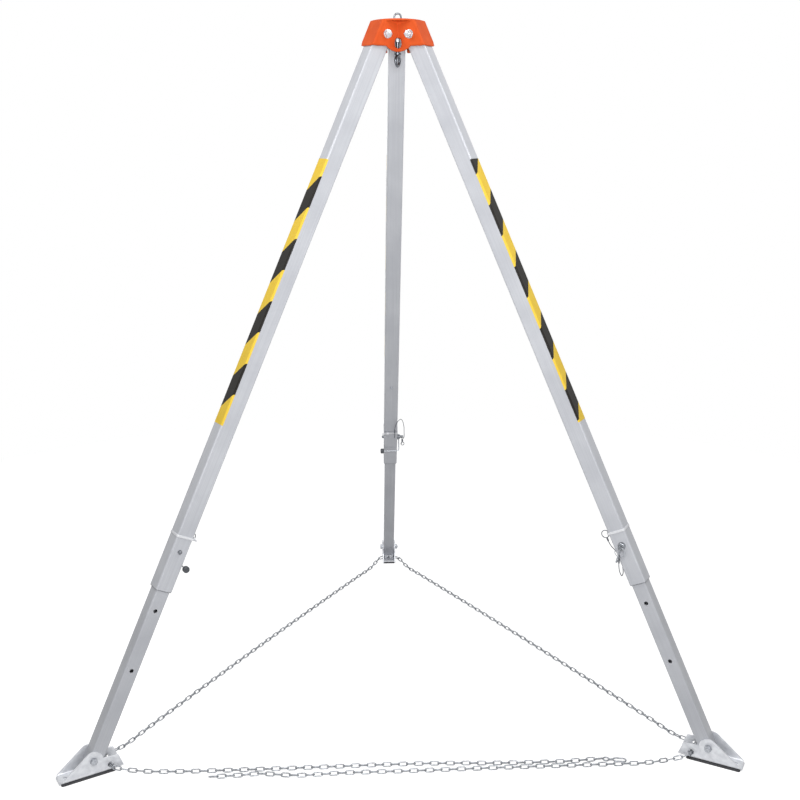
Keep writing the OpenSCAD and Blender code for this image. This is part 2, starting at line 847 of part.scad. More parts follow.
module foot_bracket(turn) {
    color("#C4C7CC")
        on_foot(turn)
            difference() {
                union() {
                    intersection() {
                        rotate([90, 0, 90])
                            translate([0, 0, -2 * toe_reach])
                                linear_extrude(4 * toe_reach)
                                    channel_section();
                        rotate([90, 0, 0])
                            linear_extrude(4 * foot_side, center = true)
                                cheek_outline();
                    }
                    translate([toe_reach, channel_bend - foot_side, floor_low - 0.5 * sole_t])
                        cube([channel_t, 2 * (foot_side - channel_bend), 0.5 * sole_t]);
                    intersection() {
                        translate([toe_reach, 0, floor_low])
                            along_y(2 * channel_t, channel_bend - foot_side, foot_side - channel_bend);
                        translate([toe_reach - 1, -foot_side, floor_low])
                            cube([2 * channel_t, 2 * foot_side, 2 * channel_t]);
                    }
                }
                translate([-tail_reach - 1, -foot_in, floor_low - 1])
                    cube([heel_tail + 1, 2 * foot_in, channel_t + 2]);
                along_y(foot_bolt + 2 * bolt_gap, -upper_w, upper_w);
                translate([-chain_in, 0, -chain_down])
                    along_y(chain_hole, -upper_w, upper_w);
                rivet_spots()
                    translate([0, 0, floor_low - 1])
                        cylinder(h = channel_t + 2, d = rivet_d + 2 * seat_gap);
            }
}

module foot_sole(turn) {
    color("#3A3A3E")
        on_foot(turn)
            difference() {
                translate([0, 0, sole_low])
                    linear_extrude(sole_t)
                        round_rect(-heel_reach, toe_reach - 0.3, 1 - foot_side, foot_side - 1, 6);
                rivet_spots()
                    translate([0, 0, sole_low + 2])
                        cylinder(h = sole_t, d = rivet_d + 2 * seat_gap);
            }
}

module sole_rivets(turn) {
    color("#B9BCC2")
        on_foot(turn)
            rivet_spots() {
                translate([0, 0, floor_low - sole_t + 2 + seat_gap])
                    cylinder(h = channel_t + sole_t - 2, d = rivet_d);
                translate([0, 0, floor_top])
                    intersection() {
                        cylinder(h = rivet_head_d / 4, d = rivet_head_d);
                        translate([0, 0, rivet_head_d / 4 - rivet_head_d * 0.625])
                            sphere(rivet_head_d * 0.625);
                    }
            }
}

module foot_fixings(turn) {
    grip = foot_side + foot_washer_t;
    color("#C9CCD1")
        on_foot(turn) {
            along_y(foot_bolt, -grip - foot_nut - 2, grip + 1);
            hex_y(foot_flats, grip, grip + foot_head);
            difference() {
                hex_y(foot_flats, -grip - foot_nut, -grip);
                along_y(foot_bolt + 2 * seat_gap, -grip - foot_nut - 1, 1 - grip);
            }
            for (y0 = [-grip, foot_side])
                difference() {
                    along_y(foot_washer_d, y0, y0 + foot_washer_t);
                    along_y(foot_bolt + 2 * seat_gap, y0 - 1, y0 + foot_washer_t + 1);
                }
        }
}

// Lock pin

module lock_pin(turn) {
    tip_y = upper_w / 2 + pin_tip;
    color("#8E9298")
        on_pin(turn)
            difference() {
                union() {
                    along_y(pin_d, neck_y - neck_len - 1, tip_y - 3);
                    translate([0, tip_y - 3, 0])
                        rotate([-90, 0, 0])
                            cylinder(h = 3, d1 = pin_d, d2 = pin_d - 5);
                    along_y(pin_flange_d, neck_y, pin_face);
                    along_y(pin_collar_d, stub_y, stub_y + pin_collar);
                    along_y(stub_d, stub_y - stub_len + stub_edge, stub_y + 1);
                    translate([0, stub_y - stub_len, 0])
                        rotate([-90, 0, 0])
                            cylinder(h = stub_edge, d1 = stub_d - 2 * stub_edge, d2 = stub_d);
                }
                translate([0, ring_y, 0])
                    rotate([0, splay, 0])
                        translate([-stub_d, 0, 0])
                            rotate([0, 90, 0])
                                cylinder(h = 2 * stub_d, d = stub_hole);
            }
}

module split_ring(turn) {
    color("#C9CCD1")
        on_pin(turn)
            translate(ring_drop * hang + [0, ring_y, 0])
                rotate([90, 0, 0])
                    wire_ring(ring_r, ring_wire);
}

module pin_bail(turn) {
    arm = bail_reach - bail_bend;
    color("#6A6E74")
        on_pin(turn) {
            translate([0, bail_y, 0])
                rotate([90, 0, 0])
                    wire_ring(bail_ring_r, bail_wire);
            rotate([0, -bail_angle, 0]) {
                translate([bail_ring_r, bail_y, 0])
                    rotate([0, 90, 0])
                        cylinder(h = arm - bail_ring_r, d = bail_wire);
                translate([arm, bail_y + bail_bend, 0])
                    rotate([0, 0, -90])
                        wire_ring(bail_bend, bail_wire, 90);
                translate([bail_reach, 0, 0])
                    along_y(bail_wire, bail_y + bail_bend, grip_y + grip_len - 3);
            }
        }
}

module bail_grip(turn) {
    edge = 3;
    color("#55585C")
        on_pin(turn)
            translate([bail_x, grip_y, -bail_down])
                rotate([-90, 0, 0])
                    difference() {
                        rotate_extrude()
                            intersection() {
                                round_rect(-grip_d / 2, grip_d / 2, 0, grip_len, edge);
                                translate([0, -1])
                                    square([grip_d, grip_len + 2]);
                            }
                        translate([0, 0, -1])
                            cylinder(h = grip_len - 2 + 2 * seat_gap, d = bail_wire + 2 * seat_gap);
                    }
}

// Chain round the feet

// Point beside a chain hole: u along the foot bolt's direction, z above the floor
function by_hole(turn, u, z) = [
    chain_r * cos(turn) - u * sin(turn),
    chain_r * sin(turn) + u * cos(turn),
    z
];
hole_reach = foot_side + 8;
function through(turn) = [
    for (k = [1, 0.5, 0, -0.5, -1])
        by_hole(turn, k * hole_reach, chain_rest_z)
];
// Stretch on the floor between two feet, bowed outward; out is the direction of the bow
function stretch(a, b, out, bow) = [
    for (k = [0.05, 0.11, 0.3, 0.5, 0.7, 0.89, 0.95])
        let (p = a + k * (b - a))
        [p[0] + bow * sin(180 * k) * cos(out), p[1] + bow * sin(180 * k) * sin(out), lie_z]
];
// Loose ends in front, as shares of the half span and offsets from the line between the holes
hook_end = [
    [0.68, -16], [0.54, -26], [0.33, -27], [0.12, -22], [-0.07, -23], [-0.27, -28],
    [-0.59, -34], [-0.82, -34], [-0.93, -22]
];
free_end = [
    [0.93, -24], [0.82, -42], [0.72, -44], [0.535, -47], [0.31, -50], [0.036, -56], [-0.2, -59],
    [-0.36, -66], [-0.487, -54], [-0.54, -59], [-0.66, -65]
];
function in_front(q) = [for (p = q) [p[0] * half_span, front_y + p[1], lie_z]];
chain_points = concat(
    in_front(hook_end), through(left_turn),
    stretch(by_hole(left_turn, -hole_reach, 0), by_hole(rear_turn, hole_reach, 0), 150, 10),
    through(rear_turn),
    stretch(by_hole(rear_turn, -hole_reach, 0), by_hole(right_turn, hole_reach, 0), 30, 7),
    through(right_turn), in_front(free_end)
);

// The chain as one round solid along its route
module foot_chain() {
    color("#BFC2C7")
        cord(smooth(chain_points, 20), chain_d);
}

// Hook at the chain's end, lying on the floor and pointing at the free strand
module chain_hook() {
    start = chain_points[0];
    goal = [0.775 * half_span, front_y - 28];
    bow_r = hook_bow + hook_wire / 2;
    barrel = 2 * hook_bow;
    bow_x = bow_r + barrel + bow_r;
    color("#9A9DA3")
        translate([start[0], start[1], hook_wire + floor_gap])
            rotate([0, 0, atan2(goal[1] - start[1], goal[0] - start[0])])
                translate([bow_r + hook_wire / 2 + 2.5 * lie_gap, 0, 0]) {
                    wire_ring(bow_r, hook_wire);
                    translate([bow_r, 0, 0])
                        rotate([0, 90, 0])
                            cylinder(h = barrel, d1 = 1.9 * hook_wire, d2 = 1.3 * hook_wire);
                    translate([bow_x, 0, 0]) {
                        rotate([0, 0, 90])
                            wire_ring(bow_r, hook_wire, 180);
                        translate([hook_side, 0, 0])
                            rotate([0, 0, -90])
                                wire_ring(bow_r, hook_wire, 180);
                        for (side = [-1, 1])
                            translate([0, side * bow_r, 0])
                                rotate([0, 90, 0])
                                    cylinder(h = hook_side, d = hook_wire);
                    }
                }
}

head_casting();
leg_pivot_bolts();
leg_pivot_nuts();
leg_pivot_washers();
load_eye();
lifting_eye();
eye_fixings();
foot_chain();
chain_hook();
upper_leg(left_turn);  // left_upper_leg
pivot_bushes(left_turn);  // left_pivot_bushes
hazard_tape(left_turn);  // left_hazard_tape
guide_collar(left_turn);  // left_guide_collar
stop_screw(left_turn);  // left_stop_screw
cable_tie(left_turn);  // left_cable_tie
lanyard(left_turn, false);  // left_lanyard
lower_leg(left_turn);  // left_lower_leg
guide_plug(left_turn);  // left_guide_plug
foot_bracket(left_turn);  // left_foot_bracket
foot_sole(left_turn);  // left_foot_sole
sole_rivets(left_turn);  // left_sole_rivets
foot_fixings(left_turn);  // left_foot_fixings
lock_pin(left_turn);  // left_lock_pin
split_ring(left_turn);  // left_split_ring
pin_bail(left_turn);  // left_pin_bail
bail_grip(left_turn);  // left_bail_grip
upper_leg(rear_turn);  // rear_upper_leg
pivot_bushes(rear_turn);  // rear_pivot_bushes
hazard_tape(rear_turn);  // rear_hazard_tape
guide_collar(rear_turn);  // rear_guide_collar
stop_screw(rear_turn);  // rear_stop_screw
cable_tie(rear_turn);  // rear_cable_tie
lanyard(rear_turn, false);  // rear_lanyard
lower_leg(rear_turn);  // rear_lower_leg
guide_plug(rear_turn);  // rear_guide_plug
foot_bracket(rear_turn);  // rear_foot_bracket
foot_sole(rear_turn);  // rear_foot_sole
sole_rivets(rear_turn);  // rear_sole_rivets
foot_fixings(rear_turn);  // rear_foot_fixings
lock_pin(rear_turn);  // rear_lock_pin
split_ring(rear_turn);  // rear_split_ring
pin_bail(rear_turn);  // rear_pin_bail
bail_grip(rear_turn);  // rear_bail_grip
upper_leg(right_turn);  // right_upper_leg
pivot_bushes(right_turn);  // right_pivot_bushes
hazard_tape(right_turn);  // right_hazard_tape
guide_collar(right_turn);  // right_guide_collar
stop_screw(right_turn);  // right_stop_screw
cable_tie(right_turn);  // right_cable_tie
lanyard(right_turn, true);  // right_lanyard
lower_leg(right_turn);  // right_lower_leg
guide_plug(right_turn);  // right_guide_plug
foot_bracket(right_turn);  // right_foot_bracket
foot_sole(right_turn);  // right_foot_sole
sole_rivets(right_turn);  // right_sole_rivets
foot_fixings(right_turn);  // right_foot_fixings
lock_pin(right_turn);  // right_lock_pin
split_ring(right_turn);  // right_split_ring
pin_bail(right_turn);  // right_pin_bail
bail_grip(right_turn);  // right_bail_grip
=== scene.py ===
# %% [markdown]
# # A rescue tripod
# Three square-tube legs fold out of a cast head, stretch to length on lock pins and stand on
# swivel feet that a chain keeps together. The solids are loaded first, and everything below
# dresses them: finer edges, real chain links, wire lanyards and a finish for every surface.

# %% Load the solids
import bpy
import bmesh
import json
from math import atan2, ceil, cos, hypot, pi, radians, sin
from mathutils import Matrix, Vector


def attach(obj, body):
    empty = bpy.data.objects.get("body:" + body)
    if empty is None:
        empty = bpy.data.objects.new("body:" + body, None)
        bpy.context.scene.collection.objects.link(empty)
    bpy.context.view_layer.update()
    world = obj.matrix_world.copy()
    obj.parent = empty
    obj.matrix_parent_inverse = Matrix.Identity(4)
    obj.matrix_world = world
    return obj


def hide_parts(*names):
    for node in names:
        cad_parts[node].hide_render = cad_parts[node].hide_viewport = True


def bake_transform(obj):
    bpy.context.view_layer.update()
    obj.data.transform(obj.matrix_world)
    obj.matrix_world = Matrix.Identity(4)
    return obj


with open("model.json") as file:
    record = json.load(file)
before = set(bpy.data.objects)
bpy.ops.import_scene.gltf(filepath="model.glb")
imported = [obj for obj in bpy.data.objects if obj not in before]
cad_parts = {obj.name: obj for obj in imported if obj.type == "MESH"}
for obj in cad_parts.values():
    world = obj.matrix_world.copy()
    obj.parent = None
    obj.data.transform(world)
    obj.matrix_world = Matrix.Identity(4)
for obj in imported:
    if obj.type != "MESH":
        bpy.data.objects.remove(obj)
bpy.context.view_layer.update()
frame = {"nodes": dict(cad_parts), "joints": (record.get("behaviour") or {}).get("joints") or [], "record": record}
nodes = frame["nodes"]
joints = {joint["name"]: joint for joint in frame["joints"]}

# %% [markdown]
# ## Frames of the legs
# Each leg has its own frame: X outward, Y along its pivot bolt, Z up the tube. Working in that
# frame means a piece is drawn once and set on all three legs. Sizes are written in millimetres
# and turned to metres by one factor, because the drawing of such a tripod is in millimetres.

# %% Leg frames
MM = 0.001
TURNS = {"left": 210, "rear": 90, "right": 330}
SPLAY = radians(25.8)
PIN_S = 1558 * MM
pivot = Vector(joints["rear_leg_fold"]["pos_m"])
swivel = Vector(joints["rear_foot_swivel"]["pos_m"])


def turned(side):
    return Matrix.Rotation(radians(TURNS[side]), 4, "Z")


def leg_frame(side):
    seat = Matrix.Translation((pivot.y, 0, pivot.z))
    return turned(side) @ seat @ Matrix.Rotation(-SPLAY, 4, "Y")


def pin_frame(side):
    return leg_frame(side) @ Matrix.Translation((0, 0, -PIN_S))


print("pivots at", [round(value, 4) for value in pivot], "swivels at", [round(v, 4) for v in swivel])

# %% [markdown]
# ## The camera
# The photograph was taken from standing height, a little over three metres off, looking down by
# about fourteen degrees. A lens near 49 mm on a 36 mm sensor gives the same lines.

# %% Camera
camera = bpy.data.objects.new("camera", bpy.data.cameras.new("camera"))
bpy.context.scene.collection.objects.link(camera)
camera.data.sensor_width = 36
camera.data.lens = 48.64
camera.location = (-0.1181, -3.2308, 1.7789)
camera.rotation_euler = (radians(75.58), radians(-0.05), radians(-2.22))
bpy.context.scene.camera = camera
print("camera at", [round(value, 3) for value in camera.location])

# %% [markdown]
# ## Curves through given points
# Lanyards and chain follow a few points each. A smooth line through them needs a direction at
# every point, and the difference of the neighbours gives one, so no point has to be tuned.

# %% Smooth lines
def smooth_line(points, step):
    points = [Vector(point) for point in points]
    last = len(points) - 1

    def way(i):
        before, after = points[max(i - 1, 0)], points[min(i + 1, last)]
        gap = (points[i] - before).length + (after - points[i]).length
        return (after - before) / gap

    line = []
    for i in range(last):
        a, b = points[i], points[i + 1]
        run = (b - a).length
        count = max(1, ceil(run / step))
        for j in range(count):
            k = j / count
            q = 1 - k
            line.append(
                q * q * (1 + 2 * k) * a + k * k * (3 - 2 * k) * b + run * k * q * (q * way(i) - k * way(i + 1))
            )
    line.append(points[last])
    return line


def line_length(line):
    return sum((b - a).length for a, b in zip(line, line[1:]))


# %% [markdown]
# ## Turning a bmesh into a piece
# Every new piece ends the same way: its mesh is written, shaded smooth with its sharp edges
# kept, and, when a body is named, it rides on that body.

# %% Piece from a bmesh
def piece(name, bm, body=None, crease=40):
    mesh = bpy.data.meshes.new(name)
    bm.to_mesh(mesh)
    bm.free()
    for face in mesh.polygons:
        face.use_smooth = True
    mesh.set_sharp_from_angle(angle=radians(crease))
    obj = bpy.data.objects.new(name, mesh)
    bpy.context.scene.collection.objects.link(obj)
    if body:
        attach(obj, body)
    return obj


def ring(bm, radius, wire, place, steps=32, sides=10):
    made = bmesh.ops.create_circle(bm, segments=sides, radius=wire / 2)["verts"]
    bmesh.ops.rotate(bm, verts=made, cent=(0, 0, 0), matrix=Matrix.Rotation(pi / 2, 3, "X"))
    bmesh.ops.translate(bm, verts=made, vec=(radius, 0, 0))
    edges = list({edge for vert in made for edge in vert.link_edges})
    swept = bmesh.ops.spin(
        bm, geom=edges, cent=(0, 0, 0), axis=(0, 0, 1), angle=2 * pi, steps=steps, use_merge=True
    )
    seen = set(made)
    front = list(made)
    while front:
        vert = front.pop()
        for edge in vert.link_edges:
            other = edge.other_vert(vert)
            if other not in seen:
                seen.add(other)
                front.append(other)
    bmesh.ops.transform(bm, matrix=place, verts=list(seen))
    return seen


def tube_along(bm, line, diameter, sides=8):
    heading = (line[1] - line[0]).normalized()
    aim = heading.to_track_quat("Z", "Y").to_matrix()
    rim = bmesh.ops.create_circle(bm, segments=sides, radius=diameter / 2, cap_ends=True)["verts"]
    bmesh.ops.rotate(bm, verts=rim, cent=(0, 0, 0), matrix=aim)
    bmesh.ops.translate(bm, verts=rim, vec=line[0])
    edges = list({edge for vert in rim for edge in vert.link_edges})
    for i in range(1, len(line)):
        after = line[min(i + 1, len(line) - 1)]
        new_heading = (after - line[i - 1]).normalized()
        grown = bmesh.ops.extrude_edge_only(bm, edges=edges)["geom"]
        verts = [item for item in grown if isinstance(item, bmesh.types.BMVert)]
        edges = [item for item in grown if isinstance(item, bmesh.types.BMEdge)]
        edges = [edge for edge in edges if all(vert in verts for vert in edge.verts)]
        turn = heading.rotation_difference(new_heading).to_matrix()
        bmesh.ops.rotate(bm, verts=verts, cent=line[i - 1], matrix=turn)
        bmesh.ops.translate(bm, verts=verts, vec=line[i] - line[i - 1])
        heading = new_heading
    bmesh.ops.contextual_create(bm, geom=edges)
    bmesh.ops.recalc_face_normals(bm, faces=bm.faces)


# %% [markdown]
# ## Lanyards
# Each lock pin hangs on a short steel wire, so that it isn't lost when it is pulled. The wire
# ends in two crimped loops, one on the cable tie and one in the pin's split ring. It is stiff
# enough to stand in a bow of its own, so a swept tube on the drawn route is the right form.

# %% Lanyards
HANG = Vector((-sin(SPLAY), 0, -cos(SPLAY)))
LOOP_R, EYE_R, WIRE, FERRULE = 11 * MM, 6 * MM, 2.6 * MM, 12 * MM
loop_at = Vector((-25 - 0.2 - 1.3 - 11, -14, 43)) * MM
ring_r = (31 - 2.5) / 2
ring_drop = ring_r - (ring_r - (ring_r**2 - 25) ** 0.5) / 2
ring_y = -(25 + 0.3) - 4 - (4 + 0.6) - 3 - 6
eye_at = (HANG * (ring_drop + ring_r) + Vector((0, ring_y - 3.2, 0))) * MM


def offsets(base, *rows):
    return [base + Vector(row) * MM for row in rows]


high_top = loop_at + Vector((0, 0, LOOP_R + FERRULE - 0.5 * MM))
high_end = eye_at - HANG * (EYE_R + FERRULE - 0.5 * MM)
high_route = offsets(
    high_top, (0, 0, 0), (-1, -2, 17), (1, -7, 34), (7, -15, 43), (15, -23, 42), (23, -30, 26), (29, -36, -6)
) + offsets(high_end, (0.5, -5.5, 35), (0.5, -5.5, 9.5), (0, 0, 0))
low_top = loop_at - Vector((0, 0, LOOP_R + FERRULE - 0.5 * MM))
low_end = eye_at + HANG * (EYE_R + FERRULE - 0.5 * MM)
low_route = offsets(
    low_top, (0, 0, 0), (1, 2, -15), (6, 8, -35), (7.5, 12, -60), (7.5, 8, -82), (6.5, -4, -99), (5, -18, -102)
) + offsets(low_end, (-9, 4, -24), (-4, 0.5, -10), (0, 0, 0))


def ferrule(bm, middle, axis):
    place = Matrix.Translation(middle) @ axis.to_track_quat("Z", "Y").to_matrix().to_4x4()
    made = bmesh.ops.create_cone(
        bm, cap_ends=True, segments=16, radius1=2.5 * MM, radius2=2.5 * MM, depth=FERRULE, matrix=place
    )["verts"]
    ends = [e for e in {edge for v in made for edge in v.link_edges} if len({f.normal.dot(axis) > 0.9 for f in e.link_faces}) > 1]
    bmesh.ops.bevel(bm, geom=ends, offset=0.7 * MM, segments=2, profile=0.5, affect="EDGES", material=-1)


lanyards = []
for side in TURNS:
    low = side == "right"
    to_pin = pin_frame(side)
    line = [to_pin @ point for point in smooth_line(low_route if low else high_route, 4 * MM)]
    bm = bmesh.new()
    tube_along(bm, line, WIRE)
    wire = piece(side + "_lanyard_wire", bm)
    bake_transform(wire)
    bm = bmesh.new()
    way = Vector((0, 0, -1 if low else 1))
    ring(bm, LOOP_R, WIRE, Matrix.Translation(loop_at) @ Matrix.Rotation(pi / 2, 4, "X"))
    ferrule(bm, loop_at + way * (LOOP_R + FERRULE / 2 - 0.5 * MM), way)
    bmesh.ops.transform(bm, matrix=to_pin, verts=bm.verts)
    tie_loop = piece(side + "_lanyard_tie_loop", bm, side + "_upper_leg")
    bm = bmesh.new()
    way = HANG if low else -HANG
    upright = Matrix.Rotation(SPLAY, 4, "Y") @ Matrix.Rotation(pi / 2, 4, "Y")
    ring(bm, EYE_R, WIRE, Matrix.Translation(eye_at) @ upright)
    ferrule(bm, eye_at + way * (EYE_R + FERRULE / 2 - 0.5 * MM), way)
    bmesh.ops.transform(bm, matrix=to_pin, verts=bm.verts)
    ring_loop = piece(side + "_lanyard_ring_loop", bm, side + "_pin")
    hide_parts(side + "_lanyard")
    lanyards += [wire, tie_loop, ring_loop]
    print(side, "lanyard", round(line_length(line) / MM), "mm")

# %% [markdown]
# ## The chain's route
# One chain runs through the heel holes of all three feet and lies on the floor between them. Its
# two ends lie side by side in front: one ends in a hook, the other is the free tail.

# %% Chain route
CHAIN_D, CHAIN_R, LIE_Z = 11, 1016.12 - 47, 6.5
REST_Z = 25.5 - 17.5 / 2 + CHAIN_D / 2 + 0.3
REACH = 21 + 0.5 + 4.5 + 8


def by_hole(side, u, z):
    turn = radians(TURNS[side])
    return Vector((CHAIN_R * cos(turn) - u * sin(turn), CHAIN_R * sin(turn) + u * cos(turn), z))


def through(side):
    return [by_hole(side, share * REACH, REST_Z) for share in (1, 0.5, 0, -0.5, -1)]


def stretch(a, b, out, bow):
    points = []
    for share in (0.05, 0.11, 0.3, 0.5, 0.7, 0.89, 0.95):
        point = a.lerp(b, share) + Vector((cos(radians(out)), sin(radians(out)), 0)) * bow * sin(pi * share)
        points.append(Vector((point.x, point.y, LIE_Z)))
    return points


def in_front(rows):
    return [Vector((share * CHAIN_R * cos(radians(30)), -CHAIN_R / 2 + off, LIE_Z)) for share, off in rows]


chain_points = in_front(
    [(0.68, -16), (0.54, -26), (0.33, -27), (0.12, -22), (-0.07, -23), (-0.27, -28), (-0.59, -34), (-0.82, -34), (-0.93, -22)]
)
chain_points += through("left")
chain_points += stretch(by_hole("left", -REACH, 0), by_hole("rear", REACH, 0), 150, 10)
chain_points += through("rear")
chain_points += stretch(by_hole("rear", -REACH, 0), by_hole("right", REACH, 0), 30, 7)
chain_points += through("right")
chain_points += in_front(
    [(0.93, -24), (0.82, -42), (0.72, -44), (0.535, -47), (0.31, -50), (0.036, -56), (-0.2, -59), (-0.36, -66), (-0.487, -54), (-0.54, -59), (-0.66, -65)]
)
chain_line = smooth_line([point * MM for point in chain_points], 5 * MM)
runs = [0]
for a, b in zip(chain_line, chain_line[1:]):
    runs.append(runs[-1] + (b - a).length)


def chain_at(distance):
    low, high = 0, len(runs) - 1
    while high - low > 1:
        middle = (low + high) // 2
        low, high = (middle, high) if runs[middle] <= distance else (low, middle)
    share = (distance - runs[low]) / (runs[high] - runs[low])
    return chain_line[low].lerp(chain_line[high], share)


PITCH = 22.5 * MM
link_count = int(runs[-1] / PITCH)
print("chain", round(runs[-1], 3), "m,", link_count, "links")

# %% [markdown]
# ## One link
# A link is a round wire bent to an oval. A small circle is pushed along one side, spun round the
# end, pushed back and spun home, so the wire stays equally thick. With hundreds of links, six
# sides and five steps an end are enough.

# %% Link
LINK_R, LINK_WIRE, LINK_SIDE = 5 * MM, 3.5 * MM, 16.6 * MM


def link_mesh():
    bm = bmesh.new()
    rim = bmesh.ops.create_circle(bm, segments=6, radius=LINK_WIRE / 2)["verts"]
    bmesh.ops.rotate(bm, verts=rim, cent=(0, 0, 0), matrix=Matrix.Rotation(pi / 2, 3, "Y"))
    bmesh.ops.translate(bm, verts=rim, vec=(-LINK_SIDE / 2, -LINK_R, 0))
    edges = list({edge for vert in rim for edge in vert.link_edges})
    for end in (1, -1):
        grown = bmesh.ops.extrude_edge_only(bm, edges=edges)["geom"]
        verts = [item for item in grown if isinstance(item, bmesh.types.BMVert)]
        edges = [e for e in grown if isinstance(e, bmesh.types.BMEdge) and all(v in verts for v in e.verts)]
        bmesh.ops.translate(bm, verts=verts, vec=(end * LINK_SIDE, 0, 0))
        spun = bmesh.ops.spin(
            bm, geom=edges, cent=(end * LINK_SIDE / 2, 0, 0), axis=(0, 0, 1), angle=pi, steps=5, use_merge=False
        )
        edges = [item for item in spun["geom_last"] if isinstance(item, bmesh.types.BMEdge)]
    bmesh.ops.remove_doubles(bm, verts=bm.verts, dist=1e-6)
    bmesh.ops.recalc_face_normals(bm, faces=bm.faces)
    mesh = bpy.data.meshes.new("link")
    bm.to_mesh(mesh)
    bm.free()
    return mesh


link = link_mesh()
print("link with", len(link.polygons), "faces")

# %% [markdown]
# ## The chain in stretches
# A chain has to follow the feet when a leg folds, slides or its foot swivels. So it is made in
# stretches: the links in a foot ride on that foot, and the next three stretches on each side are
# separate pieces, named after the foot, the lower leg and the upper leg, that ride on no body.
# The rest stays on the floor, riding on the head.

# %% Chain stretches
foot_link = {}
for side in TURNS:
    hole = by_hole(side, 0, REST_Z) * MM
    foot_link[side] = min(range(link_count), key=lambda k: (chain_at((k + 0.5) * PITCH) - hole).length)


def twist(k):
    past_feet = max(foot_link["left"] - k, k - foot_link["right"])
    return radians(30 + 15 * min(max(past_feet / 8, 0), 1))


def links_between(name, first, last):
    bm = bmesh.new()
    for k in range(first, last):
        a, b = chain_at(k * PITCH), chain_at((k + 1) * PITCH)
        step = b - a
        aim = Matrix.Rotation(atan2(step.y, step.x), 4, "Z") @ Matrix.Rotation(-atan2(step.z, hypot(step.x, step.y)), 4, "Y")
        roll = Matrix.Rotation(twist(k) + (pi / 2 if k % 2 else 0), 4, "X")
        start = len(bm.verts)
        bm.from_mesh(link)
        bm.verts.ensure_lookup_table()
        bmesh.ops.transform(bm, matrix=Matrix.Translation((a + b) / 2) @ aim @ roll, verts=bm.verts[start:])
    part = piece(name, bm, crease=70)
    return part


chain = []
STEPS = [("foot", "lower_leg", 2, 7), ("lower_leg", "upper_leg", 7, 20), ("upper_leg", None, 20, 33)]
taken = []
for side in TURNS:
    middle = foot_link[side]
    core = links_between(side + "_chain_in_foot", middle - 2, middle + 3)
    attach(core, side + "_foot")
    chain.append(core)
    for way in (-1, 1):
        for near, far, start, end in STEPS:
            low, high = (middle + start + 1, middle + end + 1) if way > 0 else (middle - end, middle - start)
            part = links_between(f"{side}_chain_{near}_{'after' if way > 0 else 'before'}", low, high)
            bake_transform(part)
            chain.append(part)
    taken.append((middle - 33, middle + 34))
edges_of = [0] + [value for pair in sorted(taken) for value in pair] + [link_count]
for n in range(0, len(edges_of), 2):
    if edges_of[n + 1] > edges_of[n]:
        part = links_between(f"chain_on_floor_{n // 2}", edges_of[n], edges_of[n + 1])
        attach(part, "head")
        chain.append(part)
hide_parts("foot_chain")
print(len(chain), "stretches of chain,", sum(len(part.data.polygons) for part in chain), "faces")

# %% [markdown]
# ## Colours and nodes
# Colours are written as the sRGB values that one reads off a screen, and one function turns them
# to the linear values that the shader wants. One more adds a node with its settings and links.

# %% Colours and nodes
def colour(code):
    parts = [int(code[i : i + 2], 16) / 255 for i in (1, 3, 5)]
    return [c / 12.92 if c <= 0.04045 else ((c + 0.055) / 1.055) ** 2.4 for c in parts] + [1]


def add(tree, kind, links=None, **settings):
    node = tree.nodes.new("ShaderNode" + kind)
    for name, value in settings.items():
        setattr(node, name, value)
    for name, value in (links or {}).items():
        if isinstance(value, bpy.types.NodeSocket):
            tree.links.new(value, node.inputs[name])
        else:
            node.inputs[name].default_value = value
    return node


def finish(name, **sockets):
    material = bpy.data.materials.new(name)
    material.use_nodes = True
    shader = material.node_tree.nodes["Principled BSDF"]
    for socket, value in sockets.items():
        shader.inputs[socket.replace("_", " ")].default_value = value
    return material, material.node_tree, shader


def dress(obj, material):
    obj.data.materials.clear()
    obj.data.materials.append(material)


print("orange in linear light", [round(value, 3) for value in colour("#E55A29")])

# %% [markdown]
# ## Powder-coated casting
# The head is cast aluminium with a thick orange powder coat. Such a coat has a fine orange-peel
# ripple of a millimetre or two, a soft gloss and slightly uneven depth of colour.

# %% Powder coat
def powder_coat():
    material, tree, shader = finish("orange powder coat on cast aluminium", Roughness=0.5, IOR=1.5, Specular_IOR_Level=0.1)
    place = add(tree, "TexCoord").outputs["Object"]
    cloud = add(tree, "TexNoise", {"Vector": place, "Scale": 28.0, "Detail": 3.0})
    tone = add(tree, "ValToRGB", {"Fac": cloud.outputs["Fac"]})
    tone.color_ramp.elements[0].position = 0.3
    tone.color_ramp.elements[0].color = colour("#CE5022")
    tone.color_ramp.elements[1].position = 0.7
    tone.color_ramp.elements[1].color = colour("#DC5D2A")
    tree.links.new(tone.outputs["Color"], shader.inputs["Base Color"])
    peel = add(tree, "TexNoise", {"Vector": place, "Scale": 1 / (2.2 * MM), "Detail": 2.0})
    bump = add(tree, "Bump", {"Height": peel.outputs["Fac"], "Strength": 0.25, "Distance": 0.4 * MM})
    tree.links.new(bump.outputs["Normal"], shader.inputs["Normal"])
    return material


orange = powder_coat()
print(orange.name)

# %% [markdown]
# ## Anodised tube
# The legs are extruded aluminium with a thin clear anodising: a satin grey with faint lines along
# the tube, from the die. The lines are drawn in the leg's own frame, stretched along the tube, and
# about a millimetre apart so that they still show.

